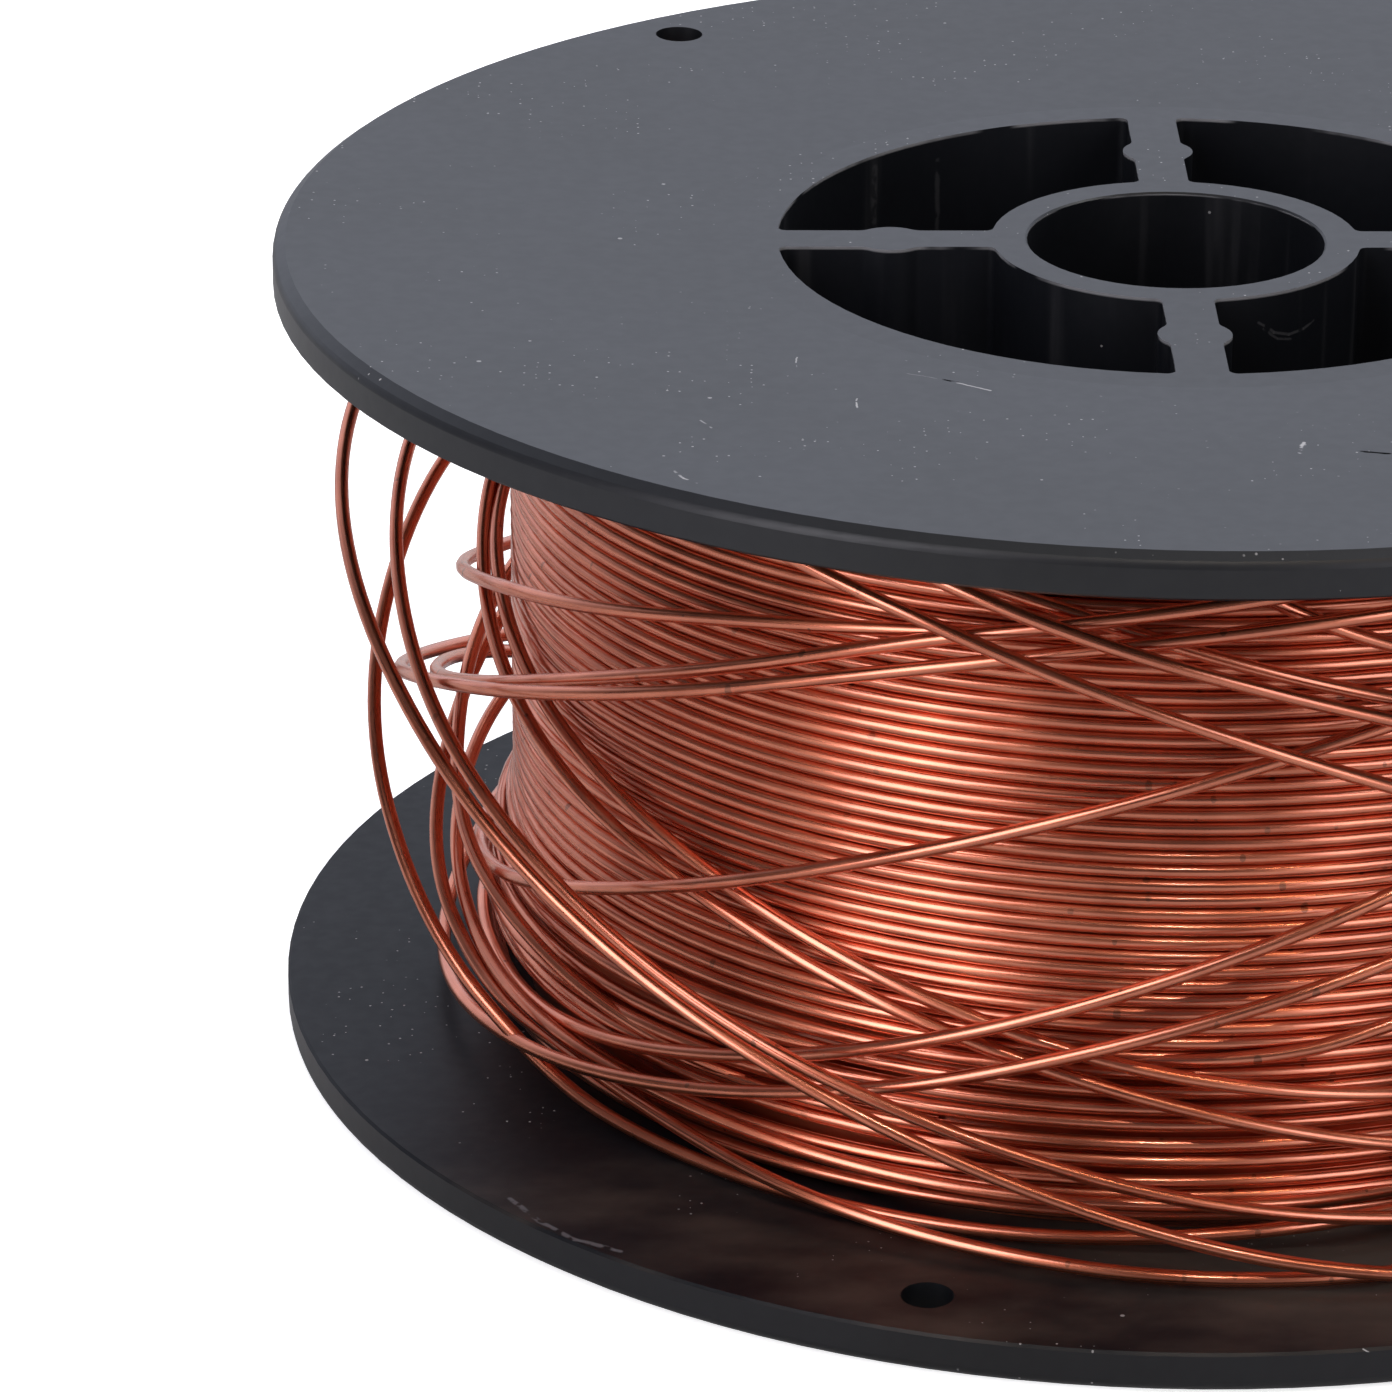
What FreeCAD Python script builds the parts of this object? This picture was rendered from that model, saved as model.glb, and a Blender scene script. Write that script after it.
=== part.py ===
import FreeCAD, Part
import math
import os

import Sketcher
from FreeCAD import Placement, Rotation, Vector

DOC = FreeCAD.newDocument("wire_spool")

# Driving dimensions, in millimetres, degrees and counts
SIZES = [
    ("flange_radius", 50.0, "outer radius of both flanges"),
    ("hub_width", 45.0, "width over both hub faces, the standard's clamping width"),
    ("flange_splay", 0.6, "how far a flange leans outward from barrel to rim"),
    ("flange_thickness", 2.4, "thickness of one flange"),
    ("rim_bevel_radial", 0.7, "bevel round the outer face, along the radius"),
    ("rim_bevel_axial", 0.5, "bevel round the outer face, along the axis"),
    ("rim_round", 0.5, "rounding between bevel and rim wall"),
    ("rim_inner_bevel", 0.15, "bevel round the inner face"),
    ("barrel_radius", 24.2, "outer radius of the barrel, which the wire lies on"),
    ("window_radius", 22.1, "inner radius of the barrel and of the flange opening"),
    ("barrel_root", 0.8, "fillet where barrel meets flange"),
    ("hub_radius", 10.2, "outer radius of the hub"),
    ("bore_radius", 8.25, "spindle bore, standard 16.5 mm across"),
    ("bore_lead", 0.1, "bevel at the mouth of the bore"),
    ("spoke_thickness", 2.8, "thickness of a spoke"),
    ("spoke_count", 4, "spokes between hub and barrel"),
    ("boss_radius", 2.0, "round boss in the middle of each spoke"),
    ("boss_circle", 15.8, "distance of the bosses from the axis"),
    ("boss_root", 0.9, "fillet where a boss meets its spoke"),
    ("spoke_root", 0.5, "fillet where a spoke meets the hub or the barrel"),
    ("pin_radius", 1.1, "locating pin on a boss"),
    ("pin_length", 3.0, "how far a pin stands out of the joint face"),
    ("pin_lead", 0.4, "bevel on a pin's tip"),
    ("socket_radius", 1.15, "socket in a boss, for the other half's pin"),
    ("socket_depth", 3.5, "depth of a socket"),
    ("wire_hole_radius", 1.4, "hole in a flange that holds the wire's end"),
    ("wire_hole_circle", 46.0, "distance of that hole from the axis"),
    ("lower_hole_angle", 251.6, "direction of the wire hole in the lower half"),
    ("upper_hole_angle", 323.2, "direction of the wire hole in the upper half, before turning over"),
    ("turn_over_angle", 45.0, "direction of the axis that the upper half turns over about"),
    ("wire_diameter", 0.8, "diameter of the wire"),
    ("wire_sides", 8, "sides of the wire's section"),
    ("winding_radius", 37.0, "outer radius of the neat winding"),
    ("pack_relief", 1.0, "bevel of the wire pack at the barrel's roots"),
    ("shown_turns", 23.0, "turns of the outer layer, half as many as the real wire has"),
    ("turn_start", 70.0, "direction in which the outer layer starts"),
    ("stub_bend", 0.9, "bend radius where the outer layer's wire turns to a flange"),
    ("slack_swell", 1.3, "how far the lowest turns stand off the pack on their loose side"),
    ("slack_side", 185.0, "direction in which they stand off most"),
    ("slack_full", 9.5, "height up to which the turns are fully slack"),
    ("slack_none", 15.0, "height from which they lie tight"),
    ("strand_lift", 14.0, "angle that a strand's straight end takes along the winding"),
]

# Loose strands: the direction and height where each leaves the winding, then direction, distance
# from the axis and height of the points that guide it, then where it meets the winding again
STRAND_ROUTES = {
    "strand_a": [
        (-262, 40.5), (-229, 41.2, 38.8), (-209, 45, 37.4), (-189, 46.9, 35), (-169, 47.3, 30),
        (-149, 46.2, 22), (-131, 44.6, 15.3), (-113, 43.1, 9.9), (-96, 42.5, 5.7), (-81, 45, 4),
        (-65, 47.2, 3.3), (-47, 47, 3.2), (-28, 44.5, 3.2), (-9, 41.2, 3.2), (9, 38.8, 3.4), (36, 3.9),
    ],
    "strand_b": [
        (-252, 37.5), (-217, 42, 36), (-198, 43.6, 33.5), (-179, 44, 29.7), (-161, 44, 23.4),
        (-143, 42.9, 17.5), (-125, 41.7, 12.5), (-107, 40.8, 8.8), (-89, 40.3, 5.6), (-70, 40.7, 4.1),
        (-51, 40.8, 3.9), (-33, 39.6, 4.2), (-3, 5),
    ],
    "strand_c": [
        (-250, 32), (-216, 42.2, 30.5), (-198, 44.3, 27.6), (-179, 45.7, 18.8), (-163, 44, 10),
        (-149, 40.3, 3.9), (-136, 39.8, 3.2), (-120, 39.9, 3.2), (-104, 39.7, 3.2), (-89, 39.6, 3.8),
        (-75, 39.1, 4.3), (-46, 4.7),
    ],
    "strand_p": [
        (-242, 24), (-208, 39.6, 20.4), (-191, 40.8, 16.4), (-176, 42.1, 9.6), (-162, 40.2, 5.4),
        (-148, 39, 5.1), (-135, 39.4, 4.6), (-122, 41, 4.1), (-108, 42, 3.4), (-92, 43.5, 3.1),
        (-74, 44, 3.1), (-56, 43, 3.1), (-38, 41, 3.2), (-20, 39.3, 3.3), (8, 3.7),
    ],
    "strand_s": [
        (-236, 16.5), (-206, 39.7, 14.2), (-192, 40.3, 12.4), (-178, 40.6, 9.6), (-165, 40, 6.8),
        (-151, 39.7, 6.2), (-137, 39, 5.8), (-122, 38.7, 5.2), (-107, 38.7, 5), (-93, 38.5, 5),
        (-64, 5.4),
    ],
    "strand_r": [
        (-242, 25), (-212, 40, 22.4), (-198, 40.3, 20), (-184, 40.3, 17), (-170, 40.6, 12.8),
        (-156, 39.3, 10.2), (-142, 38.4, 8.5), (-112, 7.3),
    ],
    "strand_g": [
        (-240, 6.8), (-206, 40.2, 7.2), (-191, 40.9, 5.2), (-176, 41.4, 4), (-161, 41.8, 4.9),
        (-146, 41.2, 5.9), (-131, 39.7, 7.5), (-115, 39.4, 10.4), (-99, 39.3, 14), (-83, 39.4, 17.5),
        (-66, 39.6, 21), (-48, 39.9, 25), (-30, 39.6, 28.5), (0, 31.5),
    ],
    "strand_f": [
        (-222, 5.5), (-192, 38.7, 6), (-176, 39.2, 6.2), (-160, 38.8, 5.6), (-144, 39.1, 7.2),
        (-128, 38.9, 9.8), (-112, 39.1, 13.4), (-96, 39.2, 17.5), (-80, 39.4, 21.8), (-64, 39.6, 26),
        (-48, 39.8, 29.6), (-32, 39.4, 32.4), (-4, 34),
    ],
    "strand_h": [
        (-224, 9.5), (-194, 38.8, 9), (-178, 39.3, 9.8), (-162, 39.2, 12.2), (-146, 39.5, 15.9),
        (-130, 39.6, 19.9), (-114, 39, 23.9), (-98, 38.9, 27.7), (-82, 38.9, 31.2), (-66, 39.6, 34.3),
        (-50, 39.4, 36.2), (-22, 36.8),
    ],
    "strand_j": [
        (-240, 19), (-210, 38.1, 21.5), (-194, 39.1, 23.7), (-178, 40.3, 26.7), (-162, 39.7, 29.8),
        (-146, 39.1, 32.2), (-130, 38.5, 34.6), (-114, 38.2, 36.2), (-86, 37),
    ],
    "strand_k": [
        (-246, 11.6), (-214, 40.9, 13.4), (-198, 42.9, 16), (-182, 44, 19.4), (-166, 43, 23.4),
        (-150, 41.8, 26.9), (-134, 40.5, 30.3), (-118, 39.5, 33.7), (-102, 39.2, 36.3), (-86, 39.3, 38),
        (-70, 39.3, 38.8), (-54, 39, 39.6), (-26, 40.2),
    ],
    "strand_l": [
        (-236, 8.6), (-208, 41.2, 13.2), (-194, 41.9, 16.6), (-178, 41.7, 20.2), (-162, 41, 24.1),
        (-146, 40, 28.3), (-130, 39.3, 32.1), (-114, 39, 35.9), (-98, 39.2, 38.3), (-82, 39.4, 40.1),
        (-66, 39.2, 41.5), (-38, 41.9),
    ],
    "strand_m": [
        (-242, 36.5), (-214, 38.2, 34.2), (-198, 38.6, 31.8), (-182, 38.9, 28.8), (-166, 39, 24.4),
        (-150, 38.9, 21), (-134, 38.3, 18), (-118, 38.2, 15), (-102, 38.2, 12.2), (-86, 38.8, 9.7),
        (-70, 39.2, 7.5), (-54, 39.2, 6.5), (-26, 6.4),
    ],
    "strand_n": [
        (-236, 34.5), (-208, 37.9, 31.8), (-192, 38, 30.1), (-176, 38.2, 28), (-160, 38.3, 24.6),
        (-144, 38.2, 21.5), (-128, 38.2, 18.4), (-112, 38.2, 15.3), (-96, 38.3, 12.7),
        (-80, 38.5, 11.1), (-64, 38.6, 10.4), (-36, 10.5),
    ],
    "strand_d1": [
        (-158, 41.8), (-130, 39.5, 40.4), (-115, 40.3, 38.3), (-100, 40.5, 35), (-84, 40.3, 31.1),
        (-68, 40.7, 27), (-50, 41.2, 22.6), (-32, 41, 18.4), (-14, 39.8, 14.5), (14, 12),
    ],
    "strand_d2": [
        (-140, 42.4), (-112, 39.8, 39.9), (-98, 40.4, 37.2), (-84, 40.2, 34.4), (-68, 40.4, 31),
        (-52, 41, 27.6), (-36, 40.8, 24.4), (-20, 39.8, 21.6), (8, 19.5),
    ],
    "strand_d3": [
        (-132, 40.8), (-104, 38, 38.6), (-90, 38.2, 35.9), (-76, 38.4, 33.3), (-60, 38.8, 30.5),
        (-44, 38.8, 28), (-16, 26.4),
    ],
    "strand_d4": [
        (-108, 41.4), (-80, 38.1, 36.8), (-66, 38.4, 34.3), (-50, 38.6, 31.9), (-34, 38.6, 30),
        (-6, 28.6),
    ],
    "strand_e": [
        (-100, 12.8), (-72, 38.6, 15.6), (-56, 39.2, 18.2), (-40, 39.4, 20.6), (-24, 39.2, 22.8),
        (4, 24.6),
    ],
}


def make_sheet():
    """The driving dimensions, one named cell each."""
    sheet = DOC.addObject("Spreadsheet::Sheet", "Sizes")
    for row, (alias, value, meaning) in enumerate(SIZES, start=1):
        sheet.set(f"A{row}", alias)
        sheet.set(f"B{row}", str(value))
        sheet.set(f"C{row}", meaning)
        sheet.setAlias(f"B{row}", alias)
    DOC.recompute()
    return sheet


SHEET = make_sheet()


def size(alias):
    return float(SHEET.get(alias))


# Sketches and features of the moulded pieces
def new_sketch(body, name, role, offset=None):
    """A sketch on one of the body's own origin planes, lifted by an expression."""
    sketch = body.newObject("Sketcher::SketchObject", name)
    plane = [part for part in body.Origin.OriginFeatures if part.Role == role][0]
    sketch.AttachmentSupport = [(plane, "")]
    sketch.MapMode = "FlatFace"
    if offset:
        sketch.setExpression("AttachmentOffset.Base.z", offset)
    DOC.recompute()
    return sketch


def pin_point(sketch, element, end, across, up):
    """Ties one end or centre of a sketch element to expressions of the sheet."""
    for kind, axis, expression in (("DistanceX", -2, across), ("DistanceY", -1, up)):
        if expression == "0":
            sketch.addConstraint(Sketcher.Constraint("PointOnObject", element, end, axis))
            continue
        value = sketch.evalExpression(expression)
        index = sketch.addConstraint(Sketcher.Constraint(kind, -1, 1, element, end, float(value)))
        sketch.setExpression(f"Constraints[{index}]", expression)


def draw_polygon(sketch, corners):
    """A closed outline through corners given as pairs of expressions."""
    places = [Vector(*(float(sketch.evalExpression(word)) for word in corner), 0) for corner in corners]
    count = len(corners)
    for index in range(count):
        line = Part.LineSegment(places[index], places[(index + 1) % count])
        sketch.addGeometry(line, False)
    for index in range(count):
        sketch.addConstraint(Sketcher.Constraint("Coincident", index, 2, (index + 1) % count, 1))
    for index, (across, up) in enumerate(corners):
        pin_point(sketch, index, 1, across, up)


def draw_circle(sketch, across, up, radius):
    """A circle whose centre and radius are expressions."""
    centre = Vector(float(sketch.evalExpression(across)), float(sketch.evalExpression(up)), 0)
    value = float(sketch.evalExpression(radius))
    element = sketch.addGeometry(Part.Circle(centre, Vector(0, 0, 1), value), False)
    index = sketch.addConstraint(Sketcher.Constraint("Radius", element, value))
    sketch.setExpression(f"Constraints[{index}]", radius)
    pin_point(sketch, element, 3, across, up)


def add_pad(body, name, sketch, length):
    pad = body.newObject("PartDesign::Pad", name)
    pad.Profile = sketch
    pad.setExpression("Length", length)
    DOC.recompute()
    return pad


def add_pocket(body, name, sketch, length, upward=False):
    """A pocket below its sketch, or above it, that has to take material away."""
    before = body.Shape.Volume
    pocket = body.newObject("PartDesign::Pocket", name)
    pocket.Profile = sketch
    pocket.setExpression("Length", length)
    pocket.Reversed = upward
    DOC.recompute()
    if not pocket.Shape.Volume < before - 0.1:
        raise RuntimeError(f"{name} cuts nothing")
    return pocket


def repeat_round_axis(body, name, features, occurrences):
    pattern = body.newObject("PartDesign::PolarPattern", name)
    axis = [part for part in body.Origin.OriginFeatures if part.Role == "Z_Axis"][0]
    pattern.Originals = features
    pattern.Axis = (axis, [""])
    pattern.Angle = 360
    pattern.setExpression("Occurrences", occurrences)
    body.Tip = pattern
    DOC.recompute()
    return pattern


def ring_edges(feature, radius, height):
    """Names of the round edges about the Z axis at that radius and height."""
    names = []
    for index, edge in enumerate(feature.Shape.Edges, start=1):
        curve = edge.Curve
        if not isinstance(curve, Part.Circle):
            continue
        centred = math.hypot(curve.Center.x, curve.Center.y) < 1e-4
        if centred and abs(curve.Radius - radius) < 1e-4 and abs(curve.Center.z - height) < 1e-4:
            names.append(f"Edge{index}")
    return names


def upright_edges(feature, distances):
    """Names of the straight upright edges of full height at any of these distances from the Z axis."""
    names = []
    for index, edge in enumerate(feature.Shape.Edges, start=1):
        box, foot = edge.BoundBox, edge.Vertexes[0].Point
        if box.ZLength < size("hub_width") / 2 - 1e-3 or box.XLength > 1e-3 or box.YLength > 1e-3:
            continue
        if min(abs(math.hypot(foot.x, foot.y) - distance) for distance in distances) < 1e-3:
            names.append(f"Edge{index}")
    return names


def add_fillet(body, name, base, edges, fillet):
    feature = body.newObject("PartDesign::Fillet", name)
    feature.Base = (base, edges)
    feature.setExpression("Radius", fillet)
    DOC.recompute()
    return feature


def add_chamfer(body, name, base, edges, bevel):
    feature = body.newObject("PartDesign::Chamfer", name)
    feature.Base = (base, edges)
    feature.setExpression("Size", bevel)
    DOC.recompute()
    return feature


# Expressions that several features share
HUB_FACE = "Sizes.flange_splay"
HALF_HUB = "Sizes.hub_width / 2"
JOINT_FACE = f"({HUB_FACE} + {HALF_HUB})"
OVERALL_WIDTH = f"({HALF_HUB} + Sizes.flange_splay) * 2"
IN_BARREL_WALL = "(Sizes.barrel_radius + Sizes.window_radius) / 2"


def flange_inside(radius):
    """Height of the lower flange's leaning inner face at a radius, as an expression."""
    lean = f"(Sizes.flange_radius - {radius}) / (Sizes.flange_radius - Sizes.barrel_radius)"
    return f"(Sizes.flange_thickness + Sizes.flange_splay * {lean})"


def add_shell(body):
    """Leaning flange and half barrel in one turned profile, with the rim's bevels and the root fillet."""
    sketch = new_sketch(body, "shell_profile", "XZ_Plane")
    draw_polygon(sketch, [
        ("Sizes.window_radius", HUB_FACE),
        ("Sizes.barrel_radius", HUB_FACE),
        ("Sizes.flange_radius - Sizes.rim_bevel_radial", "0"),
        ("Sizes.flange_radius", "Sizes.rim_bevel_axial"),
        ("Sizes.flange_radius", "Sizes.flange_thickness - Sizes.rim_inner_bevel"),
        ("Sizes.flange_radius - Sizes.rim_inner_bevel", "Sizes.flange_thickness"),
        ("Sizes.barrel_radius", flange_inside("Sizes.barrel_radius")),
        ("Sizes.barrel_radius", JOINT_FACE),
        ("Sizes.window_radius", JOINT_FACE),
    ])
    shell = body.newObject("PartDesign::Revolution", "shell")
    shell.Profile = sketch
    shell.ReferenceAxis = (sketch, ["V_Axis"])
    shell.Angle = 360
    DOC.recompute()
    outer_edge = ring_edges(shell, size("flange_radius"), size("rim_bevel_axial"))
    rim = add_fillet(body, "rim_round", shell, outer_edge, "Sizes.rim_round")
    root = ring_edges(rim, size("barrel_radius"), size("flange_thickness") + size("flange_splay"))
    return add_fillet(body, "root_fillet", rim, root, "Sizes.barrel_root")


def add_spider(body):
    """Four spokes with a round boss each, then the hub, the fillets between them and the bore."""
    spoke_plan = new_sketch(body, "spoke_plan", "XY_Plane", HUB_FACE)
    draw_polygon(spoke_plan, [
        ("0", "-Sizes.spoke_thickness / 2"),
        (IN_BARREL_WALL, "-Sizes.spoke_thickness / 2"),
        (IN_BARREL_WALL, "Sizes.spoke_thickness / 2"),
        ("0", "Sizes.spoke_thickness / 2"),
    ])
    spoke = add_pad(body, "spoke", spoke_plan, HALF_HUB)
    boss_plan = new_sketch(body, "boss_plan", "XY_Plane", HUB_FACE)
    draw_circle(boss_plan, "Sizes.boss_circle", "0", "Sizes.boss_radius")
    boss = add_pad(body, "boss", boss_plan, HALF_HUB)
    repeat_round_axis(body, "spokes", [spoke, boss], "Sizes.spoke_count")
    hub_plan = new_sketch(body, "hub_plan", "XY_Plane", HUB_FACE)
    draw_circle(hub_plan, "0", "0", "Sizes.hub_radius")
    hub = add_pad(body, "hub", hub_plan, HALF_HUB)
    half_spoke = size("spoke_thickness") / 2
    half_lens = math.sqrt(size("boss_radius") ** 2 - half_spoke ** 2)
    boss_corners = [math.hypot(size("boss_circle") + side * half_lens, half_spoke) for side in (-1, 1)]
    boss_roots = add_fillet(body, "boss_roots", hub, upright_edges(hub, boss_corners), "Sizes.boss_root")
    spoke_corners = upright_edges(boss_roots, [size("hub_radius"), size("window_radius")])
    add_fillet(body, "spoke_roots", boss_roots, spoke_corners, "Sizes.spoke_root")
    bore_plan = new_sketch(body, "bore_plan", "XY_Plane")
    draw_circle(bore_plan, "0", "0", "Sizes.bore_radius")
    bore = add_pocket(body, "bore", bore_plan, JOINT_FACE, upward=True)
    return add_chamfer(body, "bore_lead", bore, ring_edges(bore, size("bore_radius"), size("flange_splay")),
                       "Sizes.bore_lead")


def add_pins_and_sockets(body):
    """Pins on the two bosses along X, sockets in the two along Y."""
    pin_plan = new_sketch(body, "pin_plan", "XY_Plane", HUB_FACE)
    draw_circle(pin_plan, "Sizes.boss_circle", "0", "Sizes.pin_radius")
    pin = add_pad(body, "pin", pin_plan, f"{HALF_HUB} + Sizes.pin_length")
    tip_height = size("flange_splay") + size("hub_width") / 2 + size("pin_length")
    tip = [
        f"Edge{index}" for index, edge in enumerate(pin.Shape.Edges, start=1)
        if edge.BoundBox.ZMin > tip_height - 1e-4
    ]
    lead = add_chamfer(body, "pin_lead", pin, tip, "Sizes.pin_lead")
    repeat_round_axis(body, "pins", [pin, lead], "2")
    socket_plan = new_sketch(body, "socket_plan", "XY_Plane", JOINT_FACE)
    draw_circle(socket_plan, "0", "Sizes.boss_circle", "Sizes.socket_radius")
    socket = add_pocket(body, "socket", socket_plan, "Sizes.socket_depth")
    return repeat_round_axis(body, "sockets", [socket], "2")


def add_wire_hole(body, angle):
    """The hole near the rim that the wire's end is tucked through."""
    plan = new_sketch(body, "wire_hole_plan", "XY_Plane")
    across = f"Sizes.wire_hole_circle * cos({angle} * 1 deg)"
    up = f"Sizes.wire_hole_circle * sin({angle} * 1 deg)"
    draw_circle(plan, across, up, "Sizes.wire_hole_radius")
    return add_pocket(body, "wire_hole", plan, "Sizes.flange_thickness + Sizes.flange_splay", upward=True)


def make_half(label, hole_angle):
    """One of the two mouldings, its rim at height 0 and its joint face up."""
    body = DOC.addObject("PartDesign::Body", label)
    body.Label = label
    add_shell(body)
    add_spider(body)
    add_pins_and_sockets(body)
    add_wire_hole(body, hole_angle)
    return body


def overall_width():
    return size("hub_width") + 2 * size("flange_splay")


def turned_over():
    """Upside down, about a level axis between two spokes, so that pins meet sockets."""
    angle = math.radians(size("turn_over_angle"))
    half_turn = Rotation(Vector(math.cos(angle), math.sin(angle), 0), 180)
    return Placement(Vector(0, 0, overall_width()), half_turn)


# The wire
def make_wire_pack():
    """The lower layers of the winding as one ring that fills the barrel between the flanges."""
    body = DOC.addObject("PartDesign::Body", "wire_pack")
    body.Label = "wire_pack"
    sketch = new_sketch(body, "pack_profile", "XZ_Plane")
    outside = "(Sizes.winding_radius - Sizes.wire_diameter)"
    inside = "(Sizes.barrel_radius + Sizes.pack_relief)"
    root = f"({flange_inside('Sizes.barrel_radius')} + Sizes.pack_relief)"
    draw_polygon(sketch, [
        (inside, flange_inside(inside)),
        (outside, flange_inside(outside)),
        (outside, f"{OVERALL_WIDTH} - {flange_inside(outside)}"),
        (inside, f"{OVERALL_WIDTH} - {flange_inside(inside)}"),
        ("Sizes.barrel_radius", f"{OVERALL_WIDTH} - {root}"),
        ("Sizes.barrel_radius", root),
    ])
    ring = body.newObject("PartDesign::Revolution", "ring")
    ring.Profile = sketch
    ring.ReferenceAxis = (sketch, ["V_Axis"])
    ring.Angle = 360
    DOC.recompute()
    return body


def arc_between(start, corner, end):
    """The arc that leaves start and reaches end along lines that meet in corner."""
    middle = (start + end) * 0.5
    half_chord = start.distanceToPoint(end) / 2
    slope = math.acos(min(1.0, half_chord / start.distanceToPoint(corner)))
    crown = middle + (corner - middle) * (math.tan(slope / 2) / math.tan(slope))
    return Part.Arc(start, crown, end).toShape()


def biarc(start, start_way, end, end_way):
    """Two arcs that join two points in given directions."""
    chord = end - start
    ways = start_way + end_way
    bend = 2 * (1 - start_way.dot(end_way))
    reach = (-chord.dot(ways) + math.sqrt(chord.dot(ways) ** 2 + bend * chord.dot(chord))) / bend
    first = start + start_way * reach
    second = end - end_way * reach
    joint = (first + second) * 0.5
    return [arc_between(start, first, joint), arc_between(joint, second, end)]


def winding_line():
    """Radius, lowest height and pitch of the outer layer's centre line."""
    wire = size("wire_diameter")
    radius = size("winding_radius") - wire / 2
    lowest = float(SHEET.evalExpression(flange_inside(f"{radius}"))) + wire + size("stub_bend")
    climb = overall_width() - 2 * lowest
    return radius, lowest, climb / size("shown_turns")


def turn_height(angle, turn):
    """Height of the outer layer's centre line in a direction, on a given turn."""
    _, lowest, pitch = winding_line()
    return lowest + pitch * (turn + (angle - size("turn_start")) / 360)


def stand_off(angle, height):
    """How far a turn hangs off the pack, which only the lowest turns do, on one side."""
    full, none = size("slack_full"), size("slack_none")
    share = min(1.0, max(0.0, (none - height) / (none - full)))
    ramp = 0.5 - 0.5 * math.cos(math.pi * share)
    side = 0.5 + 0.5 * math.cos(math.radians(angle - size("slack_side")))
    return size("slack_swell") * ramp * side ** 3


def on_cylinder(angle, radius, height):
    turned = math.radians(angle)
    return Vector(radius * math.cos(turned), radius * math.sin(turned), height)


def sweep_wire(edges, start, way):
    """A wire swept along edges that join smoothly, its section a polygon as large as the circle."""
    sides = round(size("wire_sides"))
    round_area = math.pi * size("wire_diameter") ** 2 / 4
    reach = math.sqrt(2 * round_area / (sides * math.sin(2 * math.pi / sides)))
    across = way.cross(Vector(0, 0, 1))
    if across.Length < 0.1:
        across = way.cross(Vector(1, 0, 0))
    spoke = across.normalize() * reach
    corners = [start + Rotation(way, 360 * side / sides).multVec(spoke) for side in range(sides)]
    section = Part.makePolygon(corners + corners[:1])
    tube = Part.Wire(edges).makePipeShell([section], True, False)
    if not tube.isValid() or tube.Volume <= 0:
        raise RuntimeError("a swept wire failed")
    return tube


def layer_point(angle):
    """The outer layer's centre line, in a direction counted on over all its turns."""
    radius, lowest, pitch = winding_line()
    height = lowest + pitch * (angle - size("turn_start")) / 360
    return on_cylinder(angle, radius + stand_off(angle, height), height)


def layer_heading(angle):
    ahead, behind = layer_point(angle + 0.5), layer_point(angle - 0.5)
    return (ahead - behind).normalize()


def least_gap(start, end):
    """Least gap between one turn of the outer layer and the next, over the whole layer."""
    steps = [start + 5 * step for step in range(int((end - start - 360) / 5) + 1)]
    gaps = []
    for angle in steps:
        here = layer_point(angle)
        gaps += [here.distanceToPoint(layer_point(angle + 360 + near)) for near in range(-6, 7, 2)]
    return min(gaps) - size("wire_diameter")


def make_outer_layer():
    """The outer layer, one wire wound on the pack, its ends turned square to the flanges."""
    wire, bend = size("wire_diameter"), size("stub_bend")
    quarters = round(4 * size("shown_turns"))
    angles = [size("turn_start") + 90 * quarter for quarter in range(quarters + 1)]
    edges = []
    for here, there in zip(angles, angles[1:]):
        edges += biarc(layer_point(here), layer_heading(here), layer_point(there), layer_heading(there))
    up = Vector(0, 0, 1)
    start, end = layer_point(angles[0]), layer_point(angles[-1])
    first_corner = start - layer_heading(angles[0]) * bend
    first_end = first_corner - up * bend
    last_corner = end + layer_heading(angles[-1]) * bend
    last_end = last_corner + up * bend
    foot = first_end - up * wire
    head = last_end + up * wire
    edges.insert(0, arc_between(first_end, first_corner, start))
    edges.insert(0, Part.LineSegment(foot, first_end).toShape())
    edges.append(arc_between(end, last_corner, last_end))
    edges.append(Part.LineSegment(last_end, head).toShape())
    feature = DOC.addObject("Part::Feature", "outer_layer")
    feature.Label = "outer_layer"
    feature.Shape = sweep_wire(edges, foot, up)
    length = sum(edge.Length for edge in edges)
    print(f"outer layer: wire {length:.0f} mm, least gap {least_gap(angles[0], angles[-1]):.2f} mm,"
          f" volume over section times length {volume_ratio(feature, length):.4f}")
    return feature


def volume_ratio(feature, length):
    return feature.Shape.Volume / (math.pi * size("wire_diameter") ** 2 / 4 * length)


# The loose strands
def groove_height(angle, wished):
    """Height of the groove between two turns that lies nearest to a wished height."""
    _, _, pitch = winding_line()
    first = turn_height(angle, 0.5)
    return first + pitch * round((wished - first) / pitch)


def strand_corners(route):
    """Corners of a strand's line, whose two ends lie straight along a groove of the winding."""
    radius, _, pitch = winding_line()
    lift = size("strand_lift")
    lifted = radius / math.cos(math.radians(lift))
    (leave, leave_height), *between, (land, land_height) = route
    low, high = groove_height(leave, leave_height), groove_height(land, land_height)
    rise = pitch * lift / 360
    corners = [on_cylinder(leave, radius, low), on_cylinder(leave + lift, lifted, low + rise)]
    corners += [on_cylinder(*point) for point in between]
    corners += [on_cylinder(land - lift, lifted, high - rise), on_cylinder(land, radius, high)]
    return corners


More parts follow.
